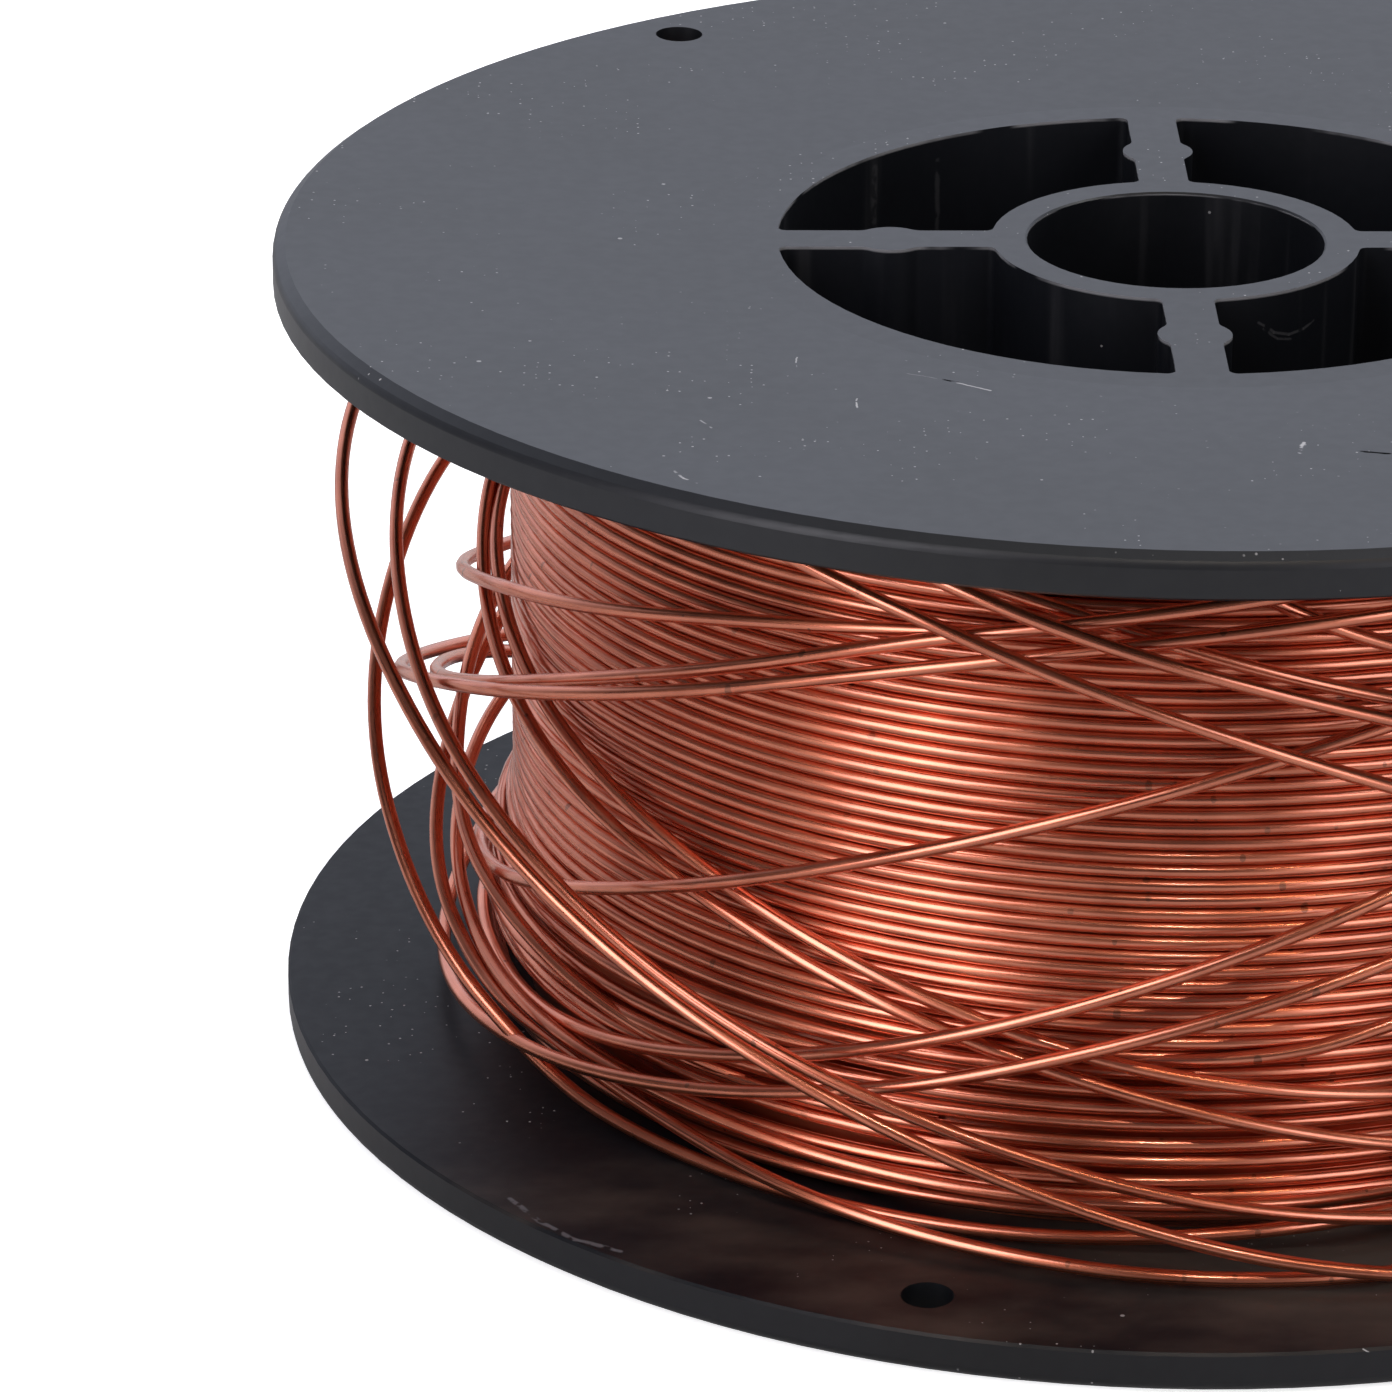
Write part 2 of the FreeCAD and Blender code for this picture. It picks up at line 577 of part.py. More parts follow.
def rounded_line(corners):
    """Straight runs joined by arcs that touch them, and the least radius of those arcs."""
    edges, radii = [], []
    start = corners[0]
    for before, corner, after in zip(corners, corners[1:], corners[2:]):
        back, ahead = before - corner, after - corner
        reach = 0.45 * min(back.Length, ahead.Length)
        radii.append(reach / math.tan((math.pi - back.getAngle(ahead)) / 2))
        first = corner + back.normalize() * reach
        second = corner + ahead.normalize() * reach
        edges.append(Part.LineSegment(start, first).toShape())
        edges.append(arc_between(first, corner, second))
        start = second
    edges.append(Part.LineSegment(start, corners[-1]).toShape())
    return edges, min(radii)


def make_strand(label, route):
    """One strand that has sprung off the winding between two places where it still lies on it."""
    corners = strand_corners(route)
    edges, radius = rounded_line(corners)
    feature = DOC.addObject("Part::Feature", label)
    feature.Label = label
    feature.Shape = sweep_wire(edges, corners[0], (corners[1] - corners[0]).normalize())
    length = sum(edge.Length for edge in edges)
    print(f"{label}: wire {length:.0f} mm, least bend radius {radius:.1f} mm,"
          f" volume over section times length {volume_ratio(feature, length):.4f}")
    return feature


def check_document():
    """Stops on any object that failed to recompute and any sub-part with no valid solid."""
    for part in DOC.Objects:
        if "Invalid" in part.State or "Error" in part.State:
            raise RuntimeError(f"{part.Label} did not recompute")


def export(parts):
    os.makedirs("parts", exist_ok=True)
    for part in parts:
        shape = part.Shape
        if shape.isNull() or not shape.isValid() or len(shape.Solids) != 1:
            raise RuntimeError(f"{part.Label} is not one valid solid")
        shape.exportStep(f"parts/{part.Label}.step")
        box = shape.BoundBox
        print(f"{part.Label}: volume {shape.Volume:.1f}, z {box.ZMin:.2f} to {box.ZMax:.2f}")


def main():
    lower = make_half("lower_half", "Sizes.lower_hole_angle")
    upper = make_half("upper_half", "Sizes.upper_hole_angle")
    upper.Placement = turned_over()
    pack = make_wire_pack()
    layer = make_outer_layer()
    strands = [make_strand(label, route) for label, route in STRAND_ROUTES.items()]
    DOC.recompute()
    check_document()
    export([lower, upper, pack, layer] + strands)


main()
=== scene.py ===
import math
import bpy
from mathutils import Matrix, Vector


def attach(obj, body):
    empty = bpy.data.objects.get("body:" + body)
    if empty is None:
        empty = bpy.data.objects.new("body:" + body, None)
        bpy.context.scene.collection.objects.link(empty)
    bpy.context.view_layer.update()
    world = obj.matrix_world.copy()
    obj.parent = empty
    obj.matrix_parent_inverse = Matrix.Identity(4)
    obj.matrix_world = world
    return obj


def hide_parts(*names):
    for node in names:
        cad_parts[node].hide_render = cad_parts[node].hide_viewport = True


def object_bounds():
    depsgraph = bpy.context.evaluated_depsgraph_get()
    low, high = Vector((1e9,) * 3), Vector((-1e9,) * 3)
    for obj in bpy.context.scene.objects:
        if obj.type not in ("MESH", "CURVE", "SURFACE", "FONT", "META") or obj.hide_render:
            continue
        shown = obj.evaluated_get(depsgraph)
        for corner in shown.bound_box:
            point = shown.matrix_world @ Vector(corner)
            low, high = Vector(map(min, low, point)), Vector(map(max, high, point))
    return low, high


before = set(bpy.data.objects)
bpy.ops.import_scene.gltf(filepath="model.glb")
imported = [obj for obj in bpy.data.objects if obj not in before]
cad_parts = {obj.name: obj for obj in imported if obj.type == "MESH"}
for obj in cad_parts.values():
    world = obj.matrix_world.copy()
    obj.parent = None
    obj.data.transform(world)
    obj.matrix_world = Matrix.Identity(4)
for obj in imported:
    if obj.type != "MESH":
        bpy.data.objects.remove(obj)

from types import SimpleNamespace

import bpy
from mathutils import Matrix, Vector

cad_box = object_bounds()

# A black plastic spool wound with bare copper wire, whose outer turns have sprung loose
MM = 0.001


def millimetres(values):
    """Values given in millimetres, as the metres that the scene is built in."""
    return [MM * value for value in values]


# Camera: place and axes worked out from the rims and openings in the photograph
CAMERA_PLACE = millimetres((-27.44, -365.29, 168.94))
CAMERA_RIGHT = Vector((1.0, -0.00149, 0.00247))
CAMERA_UP = Vector((-0.00171, 0.38157, 0.92434))
CAMERA_BACK = Vector((-0.00232, -0.92434, 0.38157))
FOCAL_LENGTH, SENSOR_WIDTH = 179.52, 36.0
CLIP_NEAR, CLIP_FAR = 0.01, 10.0


def add_camera():
    data = bpy.data.cameras.new("camera")
    data.lens, data.sensor_width = FOCAL_LENGTH, SENSOR_WIDTH
    data.clip_start, data.clip_end = CLIP_NEAR, CLIP_FAR
    camera = bpy.data.objects.new("camera", data)
    axes = Matrix((CAMERA_RIGHT, CAMERA_UP, CAMERA_BACK)).transposed()
    camera.matrix_world = Matrix.Translation(CAMERA_PLACE) @ axes.to_4x4()
    bpy.context.collection.objects.link(camera)
    bpy.context.scene.camera = camera


add_camera()

# The wire's diameter, and the middle line of the frame's outer layer: distance from the axis, height
# and direction of its lowest point, and how far it climbs over its turns, in millimetres and degrees
WIRE = 0.8
LAYER_RADIUS = 36.6
LAYER_LOWEST = 4.41
TURN_START = 70.0
LAYER_CLIMB, FRAME_TURNS = 37.38, 23
TURN_CLIMB = LAYER_CLIMB / FRAME_TURNS
# Each end of a loose strand runs straight, along a tangent of the winding, for this angle
STRAIGHT_END = 14.0

# Loose strands: direction and height where each leaves the winding, the points (direction,
# distance from the axis, height) that guide it, then where it meets the winding again
STRAND_ROUTES = {
    "strand_a": [
        (-262, 40.5), (-229, 41.2, 38.8), (-209, 45, 37.4), (-189, 46.9, 35), (-169, 47.3, 30),
        (-149, 46.2, 22), (-131, 44.6, 15.3), (-113, 43.1, 9.9), (-96, 42.5, 5.7), (-81, 45, 4),
        (-65, 47.2, 3.3), (-47, 47, 3.2), (-28, 44.5, 3.2), (-9, 41.2, 3.2), (9, 38.8, 3.4), (36, 3.9),
    ],
    "strand_b": [
        (-252, 37.5), (-217, 42, 36), (-198, 43.6, 33.5), (-179, 44, 29.7), (-161, 44, 23.4),
        (-143, 42.9, 17.5), (-125, 41.7, 12.5), (-107, 40.8, 8.8), (-89, 40.3, 5.6), (-70, 40.7, 4.1),
        (-51, 40.8, 3.9), (-33, 39.6, 4.2), (-3, 5),
    ],
    "strand_c": [
        (-250, 32), (-216, 42.2, 30.5), (-198, 44.3, 27.6), (-179, 45.7, 18.8), (-163, 44, 10),
        (-149, 40.3, 3.9), (-136, 39.8, 3.2), (-120, 39.9, 3.2), (-104, 39.7, 3.2), (-89, 39.6, 3.8),
        (-75, 39.1, 4.3), (-46, 4.7),
    ],
    "strand_p": [
        (-242, 24), (-208, 39.6, 20.4), (-191, 40.8, 16.4), (-176, 42.1, 9.6), (-162, 40.2, 5.4),
        (-148, 39, 5.1), (-135, 39.4, 4.6), (-122, 41, 4.1), (-108, 42, 3.4), (-92, 43.5, 3.1),
        (-74, 44, 3.1), (-56, 43, 3.1), (-38, 41, 3.2), (-20, 39.3, 3.3), (8, 3.7),
    ],
    "strand_s": [
        (-236, 16.5), (-206, 39.7, 14.2), (-192, 40.3, 12.4), (-178, 40.6, 9.6), (-165, 40, 6.8),
        (-151, 39.7, 6.2), (-137, 39, 5.8), (-122, 38.7, 5.2), (-107, 38.7, 5), (-93, 38.5, 5),
        (-64, 5.4),
    ],
    "strand_r": [
        (-242, 25), (-212, 40, 22.4), (-198, 40.3, 20), (-184, 40.3, 17), (-170, 40.6, 12.8),
        (-156, 39.3, 10.2), (-142, 38.4, 8.5), (-112, 7.3),
    ],
    "strand_g": [
        (-240, 6.8), (-206, 40.2, 7.2), (-191, 40.9, 5.2), (-176, 41.4, 4), (-161, 41.8, 4.9),
        (-146, 41.2, 5.9), (-131, 39.7, 7.5), (-115, 39.4, 10.4), (-99, 39.3, 14), (-83, 39.4, 17.5),
        (-66, 39.6, 21), (-48, 39.9, 25), (-30, 39.6, 28.5), (0, 31.5),
    ],
    "strand_f": [
        (-222, 5.5), (-192, 38.7, 6), (-176, 39.2, 6.2), (-160, 38.8, 5.6), (-144, 39.1, 7.2),
        (-128, 38.9, 9.8), (-112, 39.1, 13.4), (-96, 39.2, 17.5), (-80, 39.4, 21.8), (-64, 39.6, 26),
        (-48, 39.8, 29.6), (-32, 39.4, 32.4), (-4, 34),
    ],
    "strand_h": [
        (-224, 9.5), (-194, 38.8, 9), (-178, 39.3, 9.8), (-162, 39.2, 12.2), (-146, 39.5, 15.9),
        (-130, 39.6, 19.9), (-114, 39, 23.9), (-98, 38.9, 27.7), (-82, 38.9, 31.2), (-66, 39.6, 34.3),
        (-50, 39.4, 36.2), (-22, 36.8),
    ],
    "strand_j": [
        (-240, 19), (-210, 38.1, 21.5), (-194, 39.1, 23.7), (-178, 40.3, 26.7), (-162, 39.7, 29.8),
        (-146, 39.1, 32.2), (-130, 38.5, 34.6), (-114, 38.2, 36.2), (-86, 37),
    ],
    "strand_k": [
        (-246, 11.6), (-214, 40.9, 13.4), (-198, 42.9, 16), (-182, 44, 19.4), (-166, 43, 23.4),
        (-150, 41.8, 26.9), (-134, 40.5, 30.3), (-118, 39.5, 33.7), (-102, 39.2, 36.3), (-86, 39.3, 38),
        (-70, 39.3, 38.8), (-54, 39, 39.6), (-26, 40.2),
    ],
    "strand_l": [
        (-236, 8.6), (-208, 41.2, 13.2), (-194, 41.9, 16.6), (-178, 41.7, 20.2), (-162, 41, 24.1),
        (-146, 40, 28.3), (-130, 39.3, 32.1), (-114, 39, 35.9), (-98, 39.2, 38.3), (-82, 39.4, 40.1),
        (-66, 39.2, 41.5), (-38, 41.9),
    ],
    "strand_m": [
        (-242, 36.5), (-214, 38.2, 34.2), (-198, 38.6, 31.8), (-182, 38.9, 28.8), (-166, 39, 24.4),
        (-150, 38.9, 21), (-134, 38.3, 18), (-118, 38.2, 15), (-102, 38.2, 12.2), (-86, 38.8, 9.7),
        (-70, 39.2, 7.5), (-54, 39.2, 6.5), (-26, 6.4),
    ],
    "strand_n": [
        (-236, 34.5), (-208, 37.9, 31.8), (-192, 38, 30.1), (-176, 38.2, 28), (-160, 38.3, 24.6),
        (-144, 38.2, 21.5), (-128, 38.2, 18.4), (-112, 38.2, 15.3), (-96, 38.3, 12.7),
        (-80, 38.5, 11.1), (-64, 38.6, 10.4), (-36, 10.5),
    ],
    "strand_d1": [
        (-158, 41.8), (-130, 39.5, 40.4), (-115, 40.3, 38.3), (-100, 40.5, 35), (-84, 40.3, 31.1),
        (-68, 40.7, 27), (-50, 41.2, 22.6), (-32, 41, 18.4), (-14, 39.8, 14.5), (14, 12),
    ],
    "strand_d2": [
        (-140, 42.4), (-112, 39.8, 39.9), (-98, 40.4, 37.2), (-84, 40.2, 34.4), (-68, 40.4, 31),
        (-52, 41, 27.6), (-36, 40.8, 24.4), (-20, 39.8, 21.6), (8, 19.5),
    ],
    "strand_d3": [
        (-132, 40.8), (-104, 38, 38.6), (-90, 38.2, 35.9), (-76, 38.4, 33.3), (-60, 38.8, 30.5),
        (-44, 38.8, 28), (-16, 26.4),
    ],
    "strand_d4": [
        (-108, 41.4), (-80, 38.1, 36.8), (-66, 38.4, 34.3), (-50, 38.6, 31.9), (-34, 38.6, 30),
        (-6, 28.6),
    ],
    "strand_e": [
        (-100, 12.8), (-72, 38.6, 15.6), (-56, 39.2, 18.2), (-40, 39.4, 20.6), (-24, 39.2, 22.8),
        (4, 24.6),
    ],
}


def on_cylinder(angle, radius, height):
    """The point in a direction in degrees, at a distance from the axis and a height."""
    turned = math.radians(angle)
    return Vector((radius * math.cos(turned), radius * math.sin(turned), height))


def groove_height(angle, wished):
    """Height of the groove between two of the frame's turns that lies nearest to a height."""
    first = LAYER_LOWEST + TURN_CLIMB * (0.5 + (angle - TURN_START) / 360)
    return first + TURN_CLIMB * round((wished - first) / TURN_CLIMB)


def strand_corners(route):
    """The strand's guiding points, with a straight run along the winding at both ends."""
    tangent_end = LAYER_RADIUS / math.cos(math.radians(STRAIGHT_END))
    rise = TURN_CLIMB * STRAIGHT_END / 360
    (leave, leave_height), *between, (land, land_height) = route
    low, high = groove_height(leave, leave_height), groove_height(land, land_height)
    return [
        on_cylinder(leave, LAYER_RADIUS, low),
        on_cylinder(leave + STRAIGHT_END, tangent_end, low + rise),
        *(on_cylinder(*point) for point in between),
        on_cylinder(land - STRAIGHT_END, tangent_end, high - rise),
        on_cylinder(land, LAYER_RADIUS, high),
    ]


def new_wire(name, points, order, fineness):
    """A round wire along a smooth line guided by points in millimetres."""
    data = bpy.data.curves.new(name, "CURVE")
    data.dimensions = "3D"
    # The wire's radius is this depth times the radius of its points. A curve's box grows by the
    # points' radius alone, so that one is the real radius, and the depth is 1.
    data.bevel_depth = 1.0
    data.bevel_resolution = 3
    data.use_fill_caps = True
    spline = data.splines.new("NURBS")
    spline.points.add(len(points) - 1)
    for control, point in zip(spline.points, points):
        control.co = (*millimetres(point), 1)
        control.radius = WIRE / 2 * MM
    spline.order_u = order
    spline.use_endpoint_u = True
    spline.resolution_u = fineness
    piece = bpy.data.objects.new(name, data)
    bpy.context.collection.objects.link(piece)
    return piece


def line_length(piece):
    """Length in metres of a wire's line, measured without its thickness."""
    data = piece.data.copy()
    data.bevel_depth = 0
    probe = bpy.data.objects.new("probe", data)
    mesh = bpy.data.meshes.new_from_object(probe)
    places = [vertex.co for vertex in mesh.vertices]
    length = sum((b - a).length for a, b in zip(places, places[1:]))
    bpy.data.meshes.remove(mesh)
    bpy.data.objects.remove(probe)
    bpy.data.curves.remove(data)
    return length


def add_strand(name, route):
    """A loose stretch of the wire, which goes back into the winding at both ends."""
    corners = strand_corners(route)
    piece = new_wire(name + "_wire", corners, order=3, fineness=12)
    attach(piece, "root")
    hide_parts(name)
    line_length(piece)
    return piece


strands = [add_strand(name, route) for name, route in STRAND_ROUTES.items()]

# The winding in the photograph, in millimetres and degrees: its slack turns at the bottom get tight
# between two heights, and hang out furthest in one direction
FIRST_HEIGHT, LAST_HEIGHT = 3.15, 43.05
SLACK_PITCH, TIGHT_PITCH = 1.04, 0.8135
SLACK_ENDS = (8.9, 14.9)
SLACK_SWELL, SLACK_SIDE, SIDE_SHARPNESS = 1.5, 185.0, 3
# How far the turns wander outward and upward, each along two waves of (waves per radian, start)
OUTWARD_WAVES = ((0.37, 1.3), (1.31, 0.4))
UPWARD_WAVES = ((0.53, 2.1), (1.77, 0.0))
SLACK_OUTWARD, TIGHT_OUTWARD = 0.35, 0.03
SLACK_UPWARD, TIGHT_UPWARD = 0.22, 0.02
# Upward, the slack turns wander by this share all round, and the rest only on their slack side
UPWARD_ALL_ROUND = 0.35
POINTS_PER_TURN = 32
# A smooth line runs this much nearer to the axis than its guiding points on a circle
LINE_INSET = (2 + math.cos(2 * math.pi / POINTS_PER_TURN)) / 3


def smooth_share(value, low, high):
    """Goes smoothly from 0 at low to 1 at high."""
    share = min(1.0, max(0.0, (value - low) / (high - low)))
    return 0.5 - 0.5 * math.cos(math.pi * share)


def wander(turned, waves):
    """The mean of several sine waves over the angle turned so far, in radians."""
    return sum(math.sin(rate * turned + start) / len(waves) for rate, start in waves)


def winding_points():
    """One wire from the lower flange to the upper one, its lowest turns hanging loose on one side."""
    points = []
    height, step = FIRST_HEIGHT, 0
    while height < LAST_HEIGHT:
        angle = TURN_START + 360 * step / POINTS_PER_TURN
        slack = 1 - smooth_share(height, *SLACK_ENDS)
        side = (0.5 + 0.5 * math.cos(math.radians(angle - SLACK_SIDE))) ** SIDE_SHARPNESS
        outward = wander(math.radians(angle), OUTWARD_WAVES)
        upward = wander(math.radians(angle), UPWARD_WAVES)
        swell = slack * side * (SLACK_SWELL + SLACK_OUTWARD * outward) + TIGHT_OUTWARD * outward
        lift = slack * (UPWARD_ALL_ROUND + side) * SLACK_UPWARD * upward + TIGHT_UPWARD * upward
        points.append(on_cylinder(angle, (LAYER_RADIUS + swell) / LINE_INSET, height + lift))
        height += (TIGHT_PITCH + (SLACK_PITCH - TIGHT_PITCH) * slack) / POINTS_PER_TURN
        step += 1
    return points


winding = new_wire("winding", winding_points(), order=4, fineness=3)
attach(winding, "root")
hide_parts("outer_layer")


# Materials
# A Mix node's sockets for colours
MIX_FIRST, MIX_SECOND, MIX_RESULT = 6, 7, 2
# Specks are this much smaller or larger than their size
SPECK_SPREAD = (0.6, 1.3)
# Height of the bumps, in metres
BUMP_HEIGHT = 0.00001


class Surface:
    """The node tree of a material or a world, with a short call for each thing they are made of."""

    def __init__(self, owner):
        owner.use_nodes = True
        self.nodes, self.links = owner.node_tree.nodes, owner.node_tree.links

    def add(self, kind, **settings):
        node = self.nodes.new("ShaderNode" + kind)
        for setting, value in settings.items():
            setattr(node, setting, value)
        return node

    def feed(self, socket, value):
        """Links a socket to another socket, or sets it to a number, a vector or a colour."""
        if isinstance(value, bpy.types.NodeSocket):
            self.links.new(value, socket)
        elif socket.type == "RGBA":
            socket.default_value = (*value, 1)
        else:
            socket.default_value = value

    def calculate(self, operation, first, second=0.0):
        """One operation on two values, each a socket or a number."""
        node = self.add("Math", operation=operation)
        self.feed(node.inputs[0], first)
        self.feed(node.inputs[1], second)
        return node.outputs[0]

    def chain(self, operation, values):
        """The values, sockets or numbers, joined one after the other by one operation."""
        result, *others = values
        for value in others:
            result = self.calculate(operation, result, value)
        return result

    def product(self, *values):
        return self.chain("MULTIPLY", values)

    def total(self, *values):
        return self.chain("ADD", values)

    def vector(self, operation, first, second=(0, 0, 0), output="Vector"):
        """One operation on two vectors; its output is Value where it gives a plain number."""
        node = self.add("VectorMath", operation=operation)
        self.feed(node.inputs[0], first)
        self.feed(node.inputs[1], second)
        return node.outputs[output]

    def split(self, vector):
        """The X, Y and Z of a vector."""
        node = self.add("SeparateXYZ")
        self.feed(node.inputs[0], vector)
        return node.outputs

    def place(self, stretch=(1, 1, 1)):
        """Places in the object's own space, each direction with its own stretch."""
        return self.vector("MULTIPLY", self.add("TexCoord").outputs["Object"], stretch)

    def noise(self, scale, detail=2.0, stretch=(1, 1, 1), place=None, output="Fac"):
        """Smooth noise over the object, mostly between 0.3 and 0.7."""
        noise = self.add("TexNoise")
        self.feed(noise.inputs["Scale"], scale)
        self.feed(noise.inputs["Detail"], detail)
        self.feed(noise.inputs["Vector"], place or self.place(stretch))
        return noise.outputs[output]

    def specks(self, scale, size, share, stretch=(1, 1, 1), space="3D"):
        """1 in the middle of a share of many scattered cells; size is the specks' radius in cells."""
        cells = self.add("TexVoronoi", voronoi_dimensions=space)
        self.feed(cells.inputs["Scale"], scale)
        self.feed(cells.inputs["Vector"], self.place(stretch))
        lots = self.add("SeparateColor")
        self.feed(lots.inputs[0], cells.outputs["Color"])
        chosen = self.calculate("LESS_THAN", lots.outputs[0], share)
        radius = self.product(self.band(lots.outputs[1], (0, 1), SPECK_SPREAD), size)
        return self.product(self.calculate("LESS_THAN", cells.outputs["Distance"], radius), chosen)

    def ramp(self, source, low, high):
        """Goes evenly from one colour to another, each end given as (place, colour)."""
        ramp = self.add("ValToRGB")
        for element, (place, colour) in zip(ramp.color_ramp.elements, (low, high)):
            element.position = place
            element.color = (*colour, 1)
        self.feed(ramp.inputs["Fac"], source)
        return ramp.outputs["Color"]

    def band(self, source, ends, values=(0.0, 1.0)):
        """Goes smoothly from one value to the other while the source goes from one end to the other."""
        band = self.add("MapRange", interpolation_type="SMOOTHSTEP")
        for socket, value in zip(band.inputs[1:5], (*ends, *values)):
            self.feed(socket, value)
        self.feed(band.inputs["Value"], source)
        return band.outputs[0]

    def mix(self, share, first, second):
        """A colour between two, each a socket or a colour."""
        mix = self.add("Mix", data_type="RGBA")
        self.feed(mix.inputs["Factor"], share)
        self.feed(mix.inputs[MIX_FIRST], first)
        self.feed(mix.inputs[MIX_SECOND], second)
        return mix.outputs[MIX_RESULT]

    def bump(self, shader, source, strength):
        bump = self.add("Bump")
        self.feed(bump.inputs["Distance"], BUMP_HEIGHT)
        self.feed(bump.inputs["Strength"], strength)
        self.feed(bump.inputs["Height"], source)
        self.feed(shader.inputs["Normal"], bump.outputs["Normal"])

    def stroke(self, place, start, end, width):
        """1 along a short straight mark between two points in millimetres, fading at its sides."""
        start, end = Vector(millimetres(start)), Vector(millimetres(end))
        way, length = (end - start).normalized(), (end - start).length
        offset = self.vector("SUBTRACT", place, start)
        along = self.vector("DOT_PRODUCT", offset, way, output="Value")
        along = self.calculate("MINIMUM", self.calculate("MAXIMUM", along, 0.0), length)
        foot = self.vector("MULTIPLY", along, way)
        distance = self.vector("DISTANCE", offset, foot, output="Value")
        return self.band(distance, (width * MM, width * MM / 3))


def new_material(name, settings):
    """A material, its surface and its shader, with the settings that are the same all over it."""
    material = bpy.data.materials.new(name)
    surface = Surface(material)
    shader = surface.nodes["Principled BSDF"]
    for socket, value in settings.items():
        surface.feed(shader.inputs[socket], value)
    return material, surface, shader


COPPER_LIGHT, COPPER_DARK = (0.77, 0.225, 0.112), (0.56, 0.137, 0.058)
COPPER_NICK = (0.22, 0.07, 0.03)
COPPER_ROUGHNESS = (0.25, 0.34)
# Drawn lines round the wire, and how the lines and the turns' tones stretch over the winding
LINES_AROUND = 22.0
LINE_STRETCH, TURN_STRETCH = (40, 40, 900), (25, 25, 1250)


def make_copper():
    """Drawn copper wire: fine lines along it, light tarnish, small dark nicks and a glossy coat."""
    material, surface, shader = new_material("copper", {
        "Metallic": 1.0,
        "Specular Tint": (0.97, 0.86, 0.80),
        "Anisotropic": 0.5,
        "Anisotropic Rotation": 0.25,
        "Coat Weight": 0.45,
        "Coat IOR": 2.2,
        "Coat Roughness": 0.16,
    })
    tangent = surface.add("Tangent", direction_type="RADIAL", axis="Z")
    surface.feed(shader.inputs["Tangent"], tangent.outputs[0])

    around = surface.add("CombineXYZ")
    way_round = surface.split(surface.add("TexCoord").outputs["UV"])["Y"]
    surface.feed(around.inputs["X"], surface.product(way_round, LINES_AROUND))
    place = surface.vector("ADD", around.outputs[0], surface.place(LINE_STRETCH))
    lines = surface.noise(scale=1, place=place)
    roughness = surface.band(lines, (0.3, 0.7), COPPER_ROUGHNESS)
    surface.feed(shader.inputs["Roughness"], roughness)
    surface.bump(shader, lines, strength=0.4)

    patches = surface.noise(scale=260, detail=4)
    turns = surface.noise(scale=1, detail=1, stretch=TURN_STRETCH)
    shares = [surface.product(*pair) for pair in ((patches, 0.55), (lines, 0.3), (turns, 0.15))]
    colour = surface.ramp(surface.total(*shares), (0.38, COPPER_DARK), (0.6, COPPER_LIGHT))
    nicked = surface.band(surface.noise(scale=90, detail=1), (0.42, 0.5))
    nicks = surface.specks(scale=800, size=0.14, share=0.5, stretch=(1, 1, 0.6))
    colour = surface.mix(surface.product(nicks, nicked, 0.7), colour, COPPER_NICK)
    surface.feed(shader.inputs["Base Color"], colour)
    return material


PLASTIC_DARK, PLASTIC_LIGHT = (0.004, 0.0046, 0.006), (0.008, 0.009, 0.012)
# The third colour on the next line is a painted highlight along the edges round the openings
DIRT, DUST, EDGE_HIGHLIGHT = (0.058, 0.047, 0.039), (0.45, 0.44, 0.44), (0.6, 0.6, 0.62)
SCUFF, GREY_SCUFF, PIT = (0.07, 0.07, 0.075), (0.12, 0.12, 0.13), (0.002, 0.002, 0.002)
PLASTIC_ROUGHNESS, PLASTIC_SHEEN = (0.36, 0.44), (0.93, 1.0)
# How much rougher and duller faces inside the spool are, how much duller the walls of its openings
# are, how far the turned rims' roughness wanders, and how much sheen smudges give back
INNER_MATT, INNER_DULL, HOLLOW_DULL, RIM_TURNED, SMUDGE_SHEEN = 0.08, 0.5, 0.4, 0.12, 0.25
# Where parts of the spool begin and where they are whole, in metres: height off the middle of faces
# that look inward, radius of the openings' walls and of the rims, depth in front of the axis, and
# height off the middle of the edges round the openings
MIDDLE_HEIGHT = (cad_box[0][2] + cad_box[1][2]) / 2
INNER_ENDS, HOLLOW_ENDS, RIM_ENDS = (-0.004, -0.012), (0.03, 0.026), (0.045, 0.049)
FRONT_ENDS, EDGE_ENDS = (-0.02, -0.034), (0.02228, 0.0224)
# A face is no wall where its normal's upright share is over the first, and a wall under the second
WALL_ENDS = (0.5, 0.3)
# How far a whole step of noise, from 0 to 1, shifts the marks, in metres
WOBBLE = (0.0004, 0.0004, 0)
